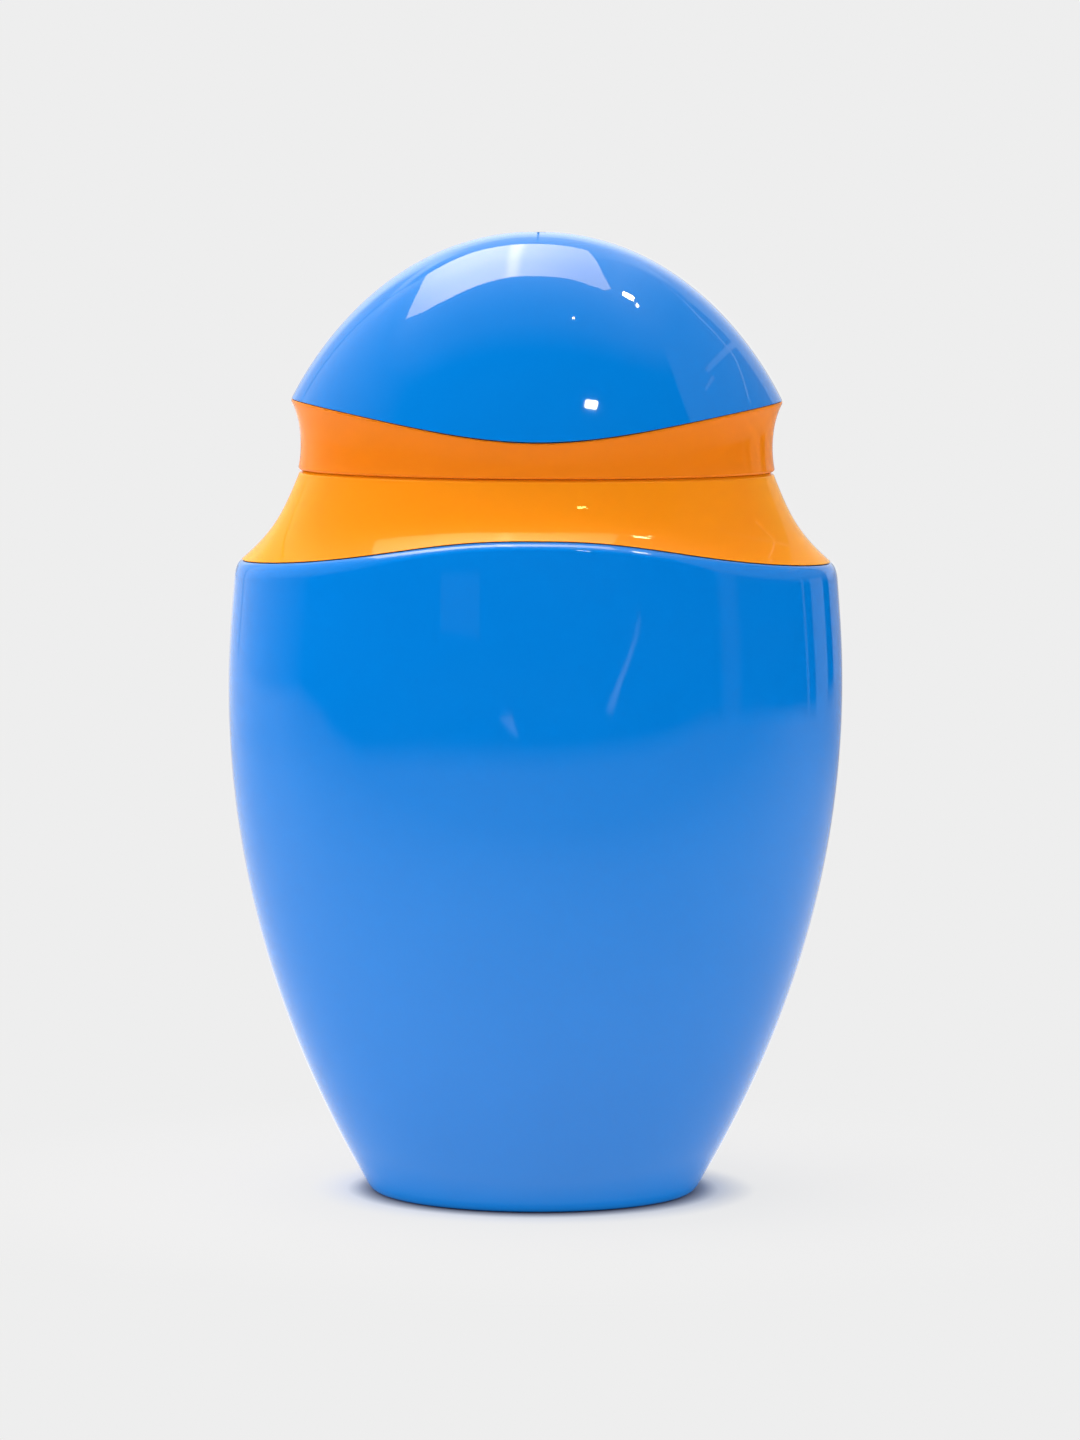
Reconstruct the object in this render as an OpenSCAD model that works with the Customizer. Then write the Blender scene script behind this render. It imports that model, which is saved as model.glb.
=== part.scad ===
// Oval sunscreen bottle: a blow-moulded bottle, a flared shoulder collar with a wavy lower edge,
// a pressed-in pouring nozzle and a domed screw cap made of an inner cap, a skirt and a dome.
// Millimetres. The origin is the middle of the base on the table, +Z is up, the wide faces look along Y.

/* [Bottle body] */
// Height of the whole object, from the table to the top of the dome
total_height = 100; // [92:0.1:110]
// Full width at the belly
body_width = 63.6; // [58:0.1:70]
// Full depth at the belly
body_depth = 39.4; // [36:0.1:44]
// Distance from the shoulder line at the narrow ends down to the widest section
belly_drop = 13.85; // [11:0.05:17]
// Full width just above the corner of the base
base_width = 35.5; // [32:0.1:40]
// Full depth just above the corner of the base
base_depth = 23; // [20:0.1:26]
// Radius of the corner between base and side
base_corner = 1.3; // [0.8:0.1:2]
// Width of the ring that the bottle stands on
standing_ring = 2.8; // [2:0.1:4]
// Depth of the push-up panel under the base
push_up = 1.5; // [0.8:0.1:2.5]
// Thickness of the bottle wall
bottle_wall = 1.2; // [0.8:0.05:1.5]

/* [Shoulder] */
// Full width of the bottle where its upper edge starts to round over
shoulder_width = 62.3; // [58:0.1:66]
// Full depth of the bottle where its upper edge starts to round over
shoulder_depth = 38.8; // [36:0.1:42]
// Rise of the wavy shoulder line in the middle of the wide faces
shoulder_wave = 3.35; // [2:0.05:4.2]
// Height over which the upper edge rounds over at the narrow ends
edge_drop_end = 1.85; // [1:0.05:2.5]
// Height over which the upper edge rounds over in the middle of the wide faces
edge_drop_middle = 0.9; // [0.5:0.05:1.5]
// Distance by which the upper edge draws in as it rounds over
edge_inset = 0.75; // [0.4:0.05:1]
// Width of the ledge that carries the lower edge of the collar
ledge_width = 2.2; // [1.9:0.05:2.6]
// Width of the flat landing round the neck towards the narrow ends
landing_end = 5.9; // [5:0.1:7]
// Width of the flat landing round the neck towards the wide faces
landing_middle = 2.6; // [2:0.1:3]

/* [Collar] */
// Height of the collar from the shoulder line at the narrow ends to its top
collar_height = 9.05; // [8.2:0.05:10.5]
// Thickness of the collar wall
collar_wall = 1.3; // [1:0.05:1.5]
// Thickness of the collar deck
deck_thickness = 1.5; // [1:0.1:2]
// Full width at the seam between collar and cap
seam_width = 49; // [46:0.1:52]
// Full depth at the seam between collar and cap
seam_depth = 31.3; // [30:0.1:34]
// Rounding of the edges at the seam
seam_round = 0.3; // [0.1:0.05:0.5]
// Gap between the collar and the cap
seam_gap = 0.2; // [0.15:0.05:0.4]

/* [Neck] */
// Diameter of the neck between its threads
neck_diameter = 15.8; // [15.4:0.1:16.6]
// Diameter of the bore in the neck
neck_bore = 11.6; // [11:0.1:12.2]
// Height of the neck rim above the top of the collar
neck_rise = 9.1; // [8:0.1:10]
// Diameter of the plain foot of the neck in the collar
neck_foot = 17.2; // [16.8:0.1:18]
// Diameter of the bead that holds the collar down
bead_diameter = 18.6; // [18.2:0.1:19.4]
// Height of that bead
bead_height = 0.8; // [0.6:0.1:1.2]

/* [Nozzle] */
// Diameter of the pouring hole
orifice = 4.4; // [3:0.1:4.6]
// Diameter of the flange on the neck rim
flange_diameter = 15.2; // [14:0.1:15.4]
// Thickness of the flange
flange_thickness = 1.1; // [0.8:0.1:1.4]
// Height of the spout above the flange
spout_height = 3.45; // [3:0.05:4]
// Diameter of the spout at the flange
spout_foot = 8.8; // [8.2:0.1:9.4]
// Diameter of the spout at its tip
spout_tip = 6.8; // [6.4:0.1:7.2]
// Length of the plug in the neck
plug_length = 6.5; // [5:0.1:8]
// Wall of the plug and of the spout
plug_wall = 0.8; // [0.6:0.05:1]

/* [Cap] */
// Height of the cap skirt at the narrow ends
skirt_height = 7.3; // [6.6:0.05:8.2]
// Drop of the dome's edge in the middle of the wide faces
dome_wave = 3.6; // [3:0.05:3.8]
// Full width at the edge of the dome
dome_width = 50.4; // [48:0.1:53]
// Full depth at the edge of the dome
dome_depth = 32.4; // [31.4:0.1:35]
// Height of the dome above its edge at the narrow ends
dome_height = 17.1; // [16:0.05:19]
// Thickness of the dome wall
dome_wall = 1.5; // [1.2:0.05:1.8]
// Diameter of the moulding mark in the middle of the dome
gate_diameter = 3.6; // [3:0.1:4.5]
// Depth of that mark
gate_depth = 0.12; // [0.05:0.01:0.2]
// Thickness of the skirt wall
skirt_wall = 1.4; // [1.1:0.05:1.6]
// Height of the flat lip along the upper edge of the skirt
lip_height = 0.4; // [0.2:0.05:0.6]
// Depth of the hollow below the lip
hollow_upper = 1.15; // [0.6:0.05:1.4]
// Depth of the hollow above the seam
hollow_lower = 0.33; // [0.1:0.01:0.6]
// Length of the spigot that plugs the dome into the skirt
spigot_length = 1.6; // [1.2:0.05:1.7]
// Thickness of that spigot
spigot_wall = 1.1; // [0.8:0.05:1.3]
// Thickness of the web in the skirt
web_thickness = 1.1; // [0.9:0.05:1.3]
// Height of the web above the lower edge of the skirt
web_lift = 0.7; // [0.5:0.05:0.8]

/* [Inner cap] */
// Diameter of the bore between its threads
cap_bore = 18.4; // [18:0.1:18.8]
// Wall of the threaded sleeve
sleeve_wall = 1.2; // [0.9:0.05:1.4]
// Diameter of the flange that the skirt and the dome hold
cap_flange = 24; // [23:0.1:24.4]
// Thickness of that flange
cap_flange_thickness = 1.1; // [0.8:0.1:1.4]
// Thickness of the roof
roof_thickness = 1.1; // [0.8:0.1:1.4]
// Diameter of the seal liner
liner_diameter = 8.6; // [8:0.1:9]
// Thickness of the seal liner
liner_thickness = 1; // [0.8:0.1:1.4]
// Number of ribs in the dome that key the inner cap
rib_count = 6; // [4:2:8]
// Thickness of those ribs
rib_thickness = 1; // [0.8:0.1:1.2]

/* [Clearances] */
// Gap between parts that are snapped together
snap_gap = 0.1; // [0.05:0.05:0.15]
// Radial gap round the plug, the neck and the inner cap
fit_gap = 0.15; // [0.1:0.05:0.2]
// Gap between the nozzle and the seal liner, and between the liner and the roof
seal_gap = 0.05; // [0.05:0.05:0.1]

/* [Hidden] */

blue = [0.02, 0.42, 0.83];
orange = [0.96, 0.5, 0.1];
natural = [0.93, 0.94, 0.92];
foam_white = [0.97, 0.97, 0.95];

sides = 60;
round_sides = 96;
belly_steps = 11;
upper_steps = 4;
edge_steps = 3;
recess_steps = 5;
flare_steps = 9;
hollow_steps = 8;
dome_steps = 12;
inner_steps = 7;
rib_steps = 4;

// Shape of a wave round the oval: how steeply it leaves the wide face, and how softly it ends
shoulder_form = [2.6, 0.35];
dome_form = [2, 1.2];

// Pulls of the cubic curves, as shares of the box between their two ends
belly_pull = [[0.61, 0.294], [1, 0.63]];
upper_pull = [[0, 0.37], [0.39, 0.63]];
edge_pull = [[0.1, 0.35], [0.35, 0.85]];
recess_pull = [[0.17, 0.35], [0.4, 1]];
flare_pull = [[0.27, 0.45], [0.43, 0.67]];
dome_pull = [[0.55, 0], [0.873, 0.626]];

// Heights that other pieces start from
shoulder_height = total_height - dome_height - skirt_height - seam_gap - collar_height;
belly_height = shoulder_height - belly_drop;
shoulder_middle = shoulder_height + shoulder_wave;
seam_height = shoulder_height + collar_height;
deck_bottom = seam_height - deck_thickness;
rim_height = seam_height + neck_rise;
tip_height = rim_height + flange_thickness + spout_height;
skirt_bottom = seam_height + seam_gap;
dome_edge = skirt_bottom + skirt_height;
dome_edge_middle = dome_edge - dome_wave;
web_bottom = skirt_bottom + web_lift;
web_top = web_bottom + web_thickness;
liner_bottom = tip_height + seal_gap;
roof_bottom = liner_bottom + liner_thickness + seal_gap;

// Plan sizes that other pieces start from
shoulder_edge = [shoulder_width / 2 - edge_inset, shoulder_depth / 2 - edge_inset];
recess_edge = [shoulder_edge[0] - ledge_width, shoulder_edge[1] - ledge_width];
landing = [neck_foot / 2 + landing_end, neck_foot / 2 + landing_middle];
seam_edge = [seam_width / 2, seam_depth / 2];
sleeve_radius = cap_bore / 2 + sleeve_wall;
pocket_radius = liner_diameter / 2 + 2 * fit_gap;
// Lean of the side at the foot, which the corner of the base starts from
foot_lean = 0.15;
foot_inset = base_corner + foot_lean;
foot = [base_width / 2 - foot_inset, base_depth / 2 - foot_inset];
ring_inside = [foot[0] - standing_ring, foot[1] - standing_ring];
// Play of the nozzle's beads in the neck, and how far they stand out of its barrel
plug_play = 0.02;
plug_bead = 0.2;
// Size of the slope round the tip of the spout
tip_round = 0.4;
// Share of the dome's curve at which its inside starts
ceiling_start = 0.08;
// Share of the space inside the standing ring that the flat panel of the push-up takes
panel_share = 0.7;
panel = ring_inside * panel_share;

// Point on a cubic curve between two ends, drawn towards two pulls
function along(from, to, pull, t) =
    let (
        box = to - from,
        first = from + [box[0] * pull[0][0], box[1] * pull[0][1]],
        second = from + [box[0] * pull[1][0], box[1] * pull[1][1]]
    )
    cubic(from, first, second, to, t);

function cubic(from, first, second, to, t) =
    pow(1 - t, 3) * from + 3 * pow(1 - t, 2) * t * first + 3 * (1 - t) * t * t * second + pow(t, 3) * to;

// A ring of an oval form: a [half width, height] at the narrow ends, a [half depth, height] in the middle
function ring(end, middle) = [end[0], middle[0], end[1], middle[1]];
function flat_ring(half_width, half_depth, height) = [half_width, half_depth, height, height];
function shifted(r, inward, down) = [r[0] - inward, r[1] - inward, r[2] - down, r[3] - down];

function reversed(list) = [for (i = [len(list) - 1:-1:0]) list[i]];

// Rings of a form between two pairs of ends
function rings(end_from, end_to, middle_from, middle_to, pull, steps, first = 0, last = 1) =
    [for (i = [0:steps])
        let (t = first + (last - first) * i / steps)
        ring(along(end_from, end_to, pull, t), along(middle_from, middle_to, pull, t))];

// Share of the narrow ends' height at an angle round the oval
function wave(angle, form) =
    let (reach = pow(abs(cos(angle)), form[0]))
    reach * (1 + form[1]) / (reach + form[1]);

function ring_points(r, form) =
    [for (i = [0:sides - 1])
        let (angle = 360 * i / sides, share = wave(angle, form))
        [r[0] * cos(angle), r[1] * sin(angle), r[3] + (r[2] - r[3]) * share]];

// Closed solid through a list of rings, with a flat face on the first and on the last of them
module loft(list, form) {
    count = len(list);
    points = [for (r = list) each ring_points(r, form)];
    bands = [for (j = [0:count - 2], i = [0:sides - 1])
        let (a = j * sides + i, b = j * sides + (i + 1) % sides)
        each [[a, a + sides, b + sides], [a, b + sides, b]]];
    first_face = [for (i = [0:sides - 1]) i];
    last_face = [for (i = [sides - 1:-1:0]) (count - 1) * sides + i];
    polyhedron(points, concat([first_face], bands, [last_face]), convexity = 6);
}

// Rings of the bottle's outside, from the foot of its side to the shoulder line
side_end = [base_width / 2, base_corner];
side_middle = [base_depth / 2, base_corner];
belly_end = [body_width / 2, belly_height];
belly_middle = [body_depth / 2, belly_height];
upper_end = [shoulder_width / 2, shoulder_height - edge_drop_end];
upper_middle = [shoulder_depth / 2, shoulder_middle - edge_drop_middle];

function belly_rings(steps) = rings(side_end, belly_end, side_middle, belly_middle, belly_pull, steps);
function upper_rings(steps) = rings(belly_end, upper_end, belly_middle, upper_middle, upper_pull, steps, 1 / steps);
function edge_rings(steps) =
    rings(upper_end, [shoulder_edge[0], shoulder_height - snap_gap],
        upper_middle, [shoulder_edge[1], shoulder_middle - snap_gap], edge_pull, steps, 1 / steps);
function recess_rings(steps) =
    rings([recess_edge[0], shoulder_height - snap_gap], [landing[0], deck_bottom],
        [recess_edge[1], shoulder_middle - snap_gap], [landing[1], deck_bottom], recess_pull, steps);

// Ring of the round corner between the base and the side, at a share of its arc
function corner_ring(share) =
    let (angle = 90 * share, inset = base_corner * (1 - sin(angle)) + foot_lean * (1 - share))
    flat_ring(base_width / 2 - inset, base_depth / 2 - inset, base_corner * (1 - cos(angle)));

module bottle_outside() {
    base = [
        flat_ring(panel[0], panel[1], push_up),
        flat_ring((panel[0] + ring_inside[0]) / 2, (panel[1] + ring_inside[1]) / 2, push_up * 0.8),
        flat_ring(ring_inside[0], ring_inside[1], 0),
        for (share = [0, 0.4, 0.75]) corner_ring(share)
    ];
    side = concat(belly_rings(belly_steps), upper_rings(upper_steps), edge_rings(edge_steps));
    loft(concat(base, side, recess_rings(recess_steps)), shoulder_form);
}

module bottle_inside() {
    floor_height = push_up + bottle_wall;
    floor_corner = 1;
    floor_rings = [
        flat_ring(panel[0], panel[1], floor_height),
        flat_ring(foot[0] - bottle_wall, foot[1] - bottle_wall, floor_height * 0.8)
    ];
    belly = [for (r = belly_rings(inner_steps)) if (r[2] > floor_height + floor_corner) r];
    side = [for (r = concat(belly, upper_rings(upper_steps / 2))) shifted(r, bottle_wall, 0)];
    roof = [for (r = recess_rings(recess_steps - 1)) shifted(r, bottle_wall * 0.8, bottle_wall * 0.9)];
    loft(concat(floor_rings, side, roof), shoulder_form);
}

module bottle_neck() {
    foot_bottom = deck_bottom - bottle_wall / 2;
    bead_bottom = seam_height + snap_gap;
    bead_top = bead_bottom + bead_height;
    chamfer = 0.3;
    rotate_extrude($fn = round_sides)
        polygon([
            [neck_bore / 2, foot_bottom],
            [neck_foot / 2, foot_bottom],
            [neck_foot / 2, bead_bottom],
            [bead_diameter / 2, bead_bottom],
            [bead_diameter / 2, bead_bottom + bead_height / 2],
            [neck_diameter / 2, bead_top],
            [neck_diameter / 2, rim_height - chamfer],
            [neck_diameter / 2 - chamfer, rim_height],
            [neck_bore / 2, rim_height]
        ]);
}

module bottle() {
    color(blue) {
        difference() {
            bottle_outside();
            bottle_inside();
            translate([0, 0, belly_height])
                cylinder(d = neck_bore, h = total_height, $fn = round_sides);
        }
        bottle_neck();
    }
}

// Rings of the collar's outside, from the seam down to its wavy lower edge
collar_top = seam_height - seam_round;

function flare_rings(steps) =
    rings([seam_edge[0], collar_top], [shoulder_edge[0], shoulder_height],
        [seam_edge[1], collar_top], [shoulder_edge[1], shoulder_middle], flare_pull, steps);

// Rings of a rounded edge at the seam, from the side to the flat face
function seam_rings(side_height, face_height) = [
    for (share = [0.3, 1])
        flat_ring(seam_edge[0] - seam_round * share, seam_edge[1] - seam_round * share,
            side_height + (face_height - side_height) * (share < 1 ? 1 - share : 1))
];

module shoulder_collar() {
    deck_corner = 1;
    outside = flare_rings(flare_steps);
    inside = [for (r = outside) if (r[3] < deck_bottom - deck_corner) shifted(r, collar_wall, 0)];
    deck_edge = flat_ring(seam_edge[0] - collar_wall, seam_edge[1] - collar_wall, deck_bottom);
    color(orange)
        difference() {
            loft(concat([deck_edge], inside, reversed(outside), seam_rings(collar_top, seam_height)), shoulder_form);
            cylinder(r = neck_foot / 2 + fit_gap, h = total_height, $fn = round_sides);
        }
}

module nozzle_plug() {
    bead = neck_bore / 2 - plug_play;
    barrel = bead - plug_bead;
    lead_in = 0.5;
    plug_bottom = rim_height - plug_length;
    flange_top = rim_height + flange_thickness;
    throat_radius = spout_tip / 2 - plug_wall;
    color(natural)
        rotate_extrude($fn = round_sides)
            polygon([
                [barrel - plug_wall, plug_bottom],
                [barrel - plug_bead, plug_bottom],
                [barrel, plug_bottom + lead_in],
                [barrel, plug_bottom + plug_length * 0.25],
                [bead, plug_bottom + plug_length * 0.32],
                [barrel, plug_bottom + plug_length * 0.39],
                [barrel, plug_bottom + plug_length * 0.6],
                [bead, plug_bottom + plug_length * 0.67],
                [barrel, plug_bottom + plug_length * 0.74],
                [barrel, rim_height],
                [flange_diameter / 2, rim_height],
                [flange_diameter / 2, flange_top],
                [spout_foot / 2, flange_top],
                [spout_tip / 2, tip_height - tip_round],
                [spout_tip / 2 - tip_round, tip_height],
                [orifice / 2, tip_height],
                [orifice / 2, tip_height - plug_wall],
                [throat_radius, tip_height - 2 * plug_wall],
                [barrel - plug_wall, rim_height - lead_in]
            ]);
}

module seal_liner() {
    color(foam_white)
        translate([0, 0, liner_bottom])
            cylinder(d = liner_diameter, h = liner_thickness, $fn = round_sides);
}

module key_slots(width, from, to) {
    for (i = [0:rib_count - 1])
        rotate([0, 0, 360 * i / rib_count])
            translate([from, -width / 2, 0])
                cube([to - from, width, total_height]);
}

module inner_cap() {
    sleeve_bottom = seam_height + snap_gap + bead_height + 2 * fit_gap;
    flange_top = web_top + cap_flange_thickness;
    hood_radius = pocket_radius + sleeve_wall;
    cone_bottom = rim_height + flange_thickness + 2 * fit_gap;
    cone_top = tip_height - tip_round;
    cap_top = roof_bottom + roof_thickness;
    color(natural)
        difference() {
            rotate_extrude($fn = round_sides)
                polygon([
                    [cap_bore / 2, sleeve_bottom],
                    [sleeve_radius, sleeve_bottom],
                    [sleeve_radius, web_top],
                    [cap_flange / 2, web_top],
                    [cap_flange / 2, flange_top],
                    [sleeve_radius, flange_top],
                    [sleeve_radius, cone_bottom + sleeve_wall * 0.6],
                    [hood_radius, cone_top + sleeve_wall * 0.6],
                    [hood_radius, cap_top],
                    [0, cap_top],
                    [0, roof_bottom],
                    [pocket_radius, roof_bottom],
                    [pocket_radius, cone_top],
                    [cap_bore / 2, cone_bottom]
                ]);
            key_slots(rib_thickness + 2 * fit_gap, sleeve_radius + fit_gap / 2, cap_flange);
        }
}

// Rings of the skirt's outside, from the seam to its lip
skirt_foot = skirt_bottom + seam_round;

function hollow_rings(steps) =
    [for (i = [1:steps])
        let (
            t = i / steps,
            end_top = dome_edge - lip_height,
            middle_top = dome_edge_middle - lip_height,
            end_rise = end_top - skirt_foot,
            middle_rise = middle_top - skirt_foot,
            lip = [dome_width / 2, dome_depth / 2],
            middle_share = middle_rise / end_rise
        )
        ring(
            cubic([seam_edge[0], skirt_foot], [seam_edge[0] - hollow_lower, skirt_foot + end_rise * 0.22],
                [lip[0] - hollow_upper, skirt_foot + end_rise * 0.67], [lip[0], end_top], t),
            cubic([seam_edge[1], skirt_foot], [seam_edge[1] - hollow_lower * middle_share, skirt_foot + middle_rise * 0.22],
                [lip[1] - hollow_upper * middle_share, skirt_foot + middle_rise * 0.67], [lip[1], middle_top], t)
        )];

module cap_skirt() {
    inside_lip = [dome_width / 2 - skirt_wall, dome_depth / 2 - skirt_wall];
    inside_foot = [seam_edge[0] - skirt_wall, seam_edge[1] - skirt_wall];
    outside = concat([
        flat_ring(inside_foot[0], inside_foot[1], web_bottom),
        flat_ring(inside_foot[0], inside_foot[1], skirt_bottom),
        each reversed(seam_rings(skirt_foot, skirt_bottom)),
        flat_ring(seam_edge[0], seam_edge[1], skirt_foot)
    ], hollow_rings(hollow_steps));
    inside = [
        ring([dome_width / 2, dome_edge - snap_gap], [dome_depth / 2, dome_edge_middle - snap_gap]),
        ring([inside_lip[0], dome_edge - snap_gap], [inside_lip[1], dome_edge_middle - snap_gap]),
        ring([inside_lip[0], dome_edge - spigot_length - 2 * snap_gap], [inside_lip[1], web_top + snap_gap]),
        flat_ring(inside_foot[0], inside_foot[1], web_top)
    ];
    color(orange)
        difference() {
            loft(concat(outside, inside), dome_form);
            cylinder(r = sleeve_radius + fit_gap, h = total_height, $fn = round_sides);
        }
}

// Rings of the dome from near its top to its edge, drawn in by a wall
function dome_rings(steps, wall, first, last) =
    rings([0, total_height - wall], [dome_width / 2 - wall, dome_edge],
        [0, total_height - wall], [dome_depth / 2 - wall, dome_edge_middle], dome_pull, steps, first, last);

spigot_outside = skirt_wall + snap_gap;
spigot_inside = spigot_outside + spigot_wall;
rib_inside = sleeve_radius + 2 * fit_gap;
rib_bottom = web_top + snap_gap;

function spigot_ring(inward, down) =
    ring([dome_width / 2 - inward, dome_edge - down], [dome_depth / 2 - inward, dome_edge_middle - down]);

module dome_shell() {
    gate = gate_diameter / 2;
    ceiling = dome_rings(inner_steps + 1, dome_wall, ceiling_start, 0.9);
    outside = dome_rings(dome_steps, 0, gate / (dome_width * 0.9), 1);
    loft(concat(
        [flat_ring(ceiling[0][0] * 0.5, ceiling[0][1] * 0.5, total_height - dome_wall - 0.05)],
        ceiling,
        [
            spigot_ring(spigot_inside, -0.5),
            spigot_ring(spigot_inside, spigot_length),
            spigot_ring(spigot_outside, spigot_length),
            spigot_ring(spigot_outside, 0)
        ],
        reversed(outside),
        [
            flat_ring(gate * 0.9, gate * 0.7, total_height - gate_depth),
            flat_ring(gate * 0.4, gate * 0.4, total_height - gate_depth)
        ]
    ), dome_form);
}

// Ribs that reach down to the web of the skirt and stop the inner cap from turning
module dome_ribs() {
    leg_width = 1;
    leg_outside = cap_flange / 2 + leg_width;
    inside_dome = reversed(dome_rings(rib_steps, dome_wall * 0.6, ceiling_start, 1));
    core = concat(
        [flat_ring(leg_outside, leg_outside, rib_bottom)],
        [spigot_ring((spigot_outside + spigot_inside) / 2, 0)],
        inside_dome,
        [flat_ring(1, 1, total_height - dome_wall * 0.6)]
    );
    difference() {
        intersection() {
            loft(core, dome_form);
            key_slots(rib_thickness, 0, dome_width / 2);
        }
        cylinder(r = rib_inside, h = total_height, $fn = round_sides);
    }
}

module cap_dome() {
    color(blue) {
        dome_shell();
        dome_ribs();
    }
}

bottle();
shoulder_collar();
nozzle_plug();
seal_liner();
inner_cap();
cap_skirt();
cap_dome();
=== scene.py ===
"""Looks of an oval sunscreen bottle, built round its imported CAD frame.

The glossy shells, the collar, the nozzle, the liner and the screw threads are meshes of their own, from the
same forms as the CAD part. Sizes of the part are in millimetres up to add_object, which turns them into
Blender's metres. Sizes of the studio are in metres.
"""

import math

import bmesh
import bpy
import numpy as np
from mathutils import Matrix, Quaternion, Vector


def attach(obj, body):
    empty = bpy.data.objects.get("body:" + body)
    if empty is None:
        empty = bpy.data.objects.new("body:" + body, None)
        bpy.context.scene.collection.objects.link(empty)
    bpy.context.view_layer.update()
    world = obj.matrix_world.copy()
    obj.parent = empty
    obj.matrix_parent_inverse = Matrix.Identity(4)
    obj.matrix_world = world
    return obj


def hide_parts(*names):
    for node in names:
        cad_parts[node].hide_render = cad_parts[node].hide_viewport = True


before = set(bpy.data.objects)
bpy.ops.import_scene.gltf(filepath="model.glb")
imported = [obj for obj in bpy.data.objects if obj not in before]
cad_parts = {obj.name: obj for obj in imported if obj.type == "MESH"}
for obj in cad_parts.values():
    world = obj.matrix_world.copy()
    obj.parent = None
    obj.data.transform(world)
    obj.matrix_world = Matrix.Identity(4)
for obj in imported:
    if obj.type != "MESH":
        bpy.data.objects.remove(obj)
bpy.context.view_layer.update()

MM = 0.001
TURN = 2 * math.pi
WHITE = (1, 1, 1)
SQUARE = ((-1, -1), (1, -1), (1, 1), (-1, 1))

# ---- Sizes of the part, under the names in its source, with radii in place of its diameters ----

BODY_WIDTH, BODY_DEPTH, BELLY_HEIGHT = 63.6, 39.4, 52.5
BASE_WIDTH, BASE_DEPTH, BASE_CORNER, FOOT_LEAN = 35.5, 23.0, 1.3, 0.15
STANDING_RING, PUSH_UP, PANEL_SHARE, BOTTLE_WALL = 2.8, 1.5, 0.7, 1.2
SHOULDER_WIDTH, SHOULDER_DEPTH, SHOULDER_HEIGHT, SHOULDER_WAVE = 62.3, 38.8, 66.35, 3.35
EDGE_DROP_END, EDGE_DROP_MIDDLE, EDGE_INSET, LEDGE_WIDTH = 1.85, 0.9, 0.75, 2.2
LANDING_END, LANDING_MIDDLE = 5.9, 2.6
COLLAR_HEIGHT, COLLAR_WALL, DECK_THICKNESS = 9.05, 1.3, 1.5
SEAM_WIDTH, SEAM_DEPTH, SEAM_ROUND, SEAM_GAP = 49.0, 31.3, 0.3, 0.2
NECK_RADIUS, NECK_BORE, NECK_RISE, NECK_FOOT = 7.9, 5.8, 9.1, 8.6
BEAD_RADIUS, BEAD_HEIGHT = 9.3, 0.8
ORIFICE, FLANGE_RADIUS, FLANGE_THICKNESS = 2.2, 7.6, 1.1
SPOUT_HEIGHT, SPOUT_FOOT, SPOUT_TIP = 3.45, 4.4, 3.4
PLUG_LENGTH, PLUG_WALL, PLUG_PLAY, PLUG_BEAD = 6.5, 0.8, 0.02, 0.2
SKIRT_HEIGHT, SKIRT_WALL, HOLLOW_UPPER, HOLLOW_LOWER = 7.3, 1.4, 1.15, 0.33
DOME_WAVE, DOME_WIDTH, DOME_DEPTH, DOME_HEIGHT, DOME_WALL = 3.6, 50.4, 32.4, 17.1, 1.5
GATE_RADIUS, GATE_DEPTH = 1.8, 0.12
SPIGOT_LENGTH, SPIGOT_WALL = 1.6, 1.1
WEB_THICKNESS, WEB_LIFT = 1.1, 0.7
SLEEVE_RADIUS, CAP_BORE, CAP_FLANGE = 10.4, 9.2, 12.0
LINER_RADIUS, LINER_THICKNESS = 4.3, 1.0
RIB_COUNT, RIB_THICKNESS = 6, 1.0
SNAP_GAP, FIT_GAP, SEAL_GAP = 0.1, 0.15, 0.05

# Forms of the waves, and pulls of the cubic curves as shares of the box between their ends
SHOULDER_FORM = (2.6, 0.35)
DOME_FORM = (2, 1.2)
BELLY_PULL = ((0.61, 0.294), (1, 0.63))
UPPER_PULL = ((0, 0.37), (0.39, 0.63))
EDGE_PULL = ((0.1, 0.35), (0.35, 0.85))
RECESS_PULL = ((0.17, 0.35), (0.4, 1))
FLARE_PULL = ((0.27, 0.45), (0.43, 0.67))
DOME_PULL = ((0.55, 0), (0.873, 0.626))

# Where the looks of edges and seams ask for a little more or less than in the source
LIP_HEIGHT = 0.3
LEDGE_GAP, DOME_GAP_END, DOME_GAP_MIDDLE = 0.09, 0.05, 0.12
EDGE_PULL_MIDDLE = ((0, 0.3), (0.35, 0.72))
FLARE_PULL_MIDDLE = ((0.22, 0.45), (0.36, 0.74))

SHOULDER_MIDDLE = SHOULDER_HEIGHT + SHOULDER_WAVE
SEAM_HEIGHT = SHOULDER_HEIGHT + COLLAR_HEIGHT
DECK_BOTTOM = SEAM_HEIGHT - DECK_THICKNESS
RIM_HEIGHT = SEAM_HEIGHT + NECK_RISE
TIP_HEIGHT = RIM_HEIGHT + FLANGE_THICKNESS + SPOUT_HEIGHT
SKIRT_BOTTOM = SEAM_HEIGHT + SEAM_GAP
SKIRT_FOOT = SKIRT_BOTTOM + SEAM_ROUND
DOME_EDGE = SKIRT_BOTTOM + SKIRT_HEIGHT
DOME_EDGE_MIDDLE = DOME_EDGE - DOME_WAVE
TOP_HEIGHT = DOME_EDGE + DOME_HEIGHT
WEB_BOTTOM = SKIRT_BOTTOM + WEB_LIFT
WEB_TOP = WEB_BOTTOM + WEB_THICKNESS
LINER_BOTTOM = TIP_HEIGHT + SEAL_GAP
SHOULDER_EDGE = (SHOULDER_WIDTH / 2 - EDGE_INSET, SHOULDER_DEPTH / 2 - EDGE_INSET)
RECESS_EDGE = (SHOULDER_EDGE[0] - LEDGE_WIDTH, SHOULDER_EDGE[1] - LEDGE_WIDTH)
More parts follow.
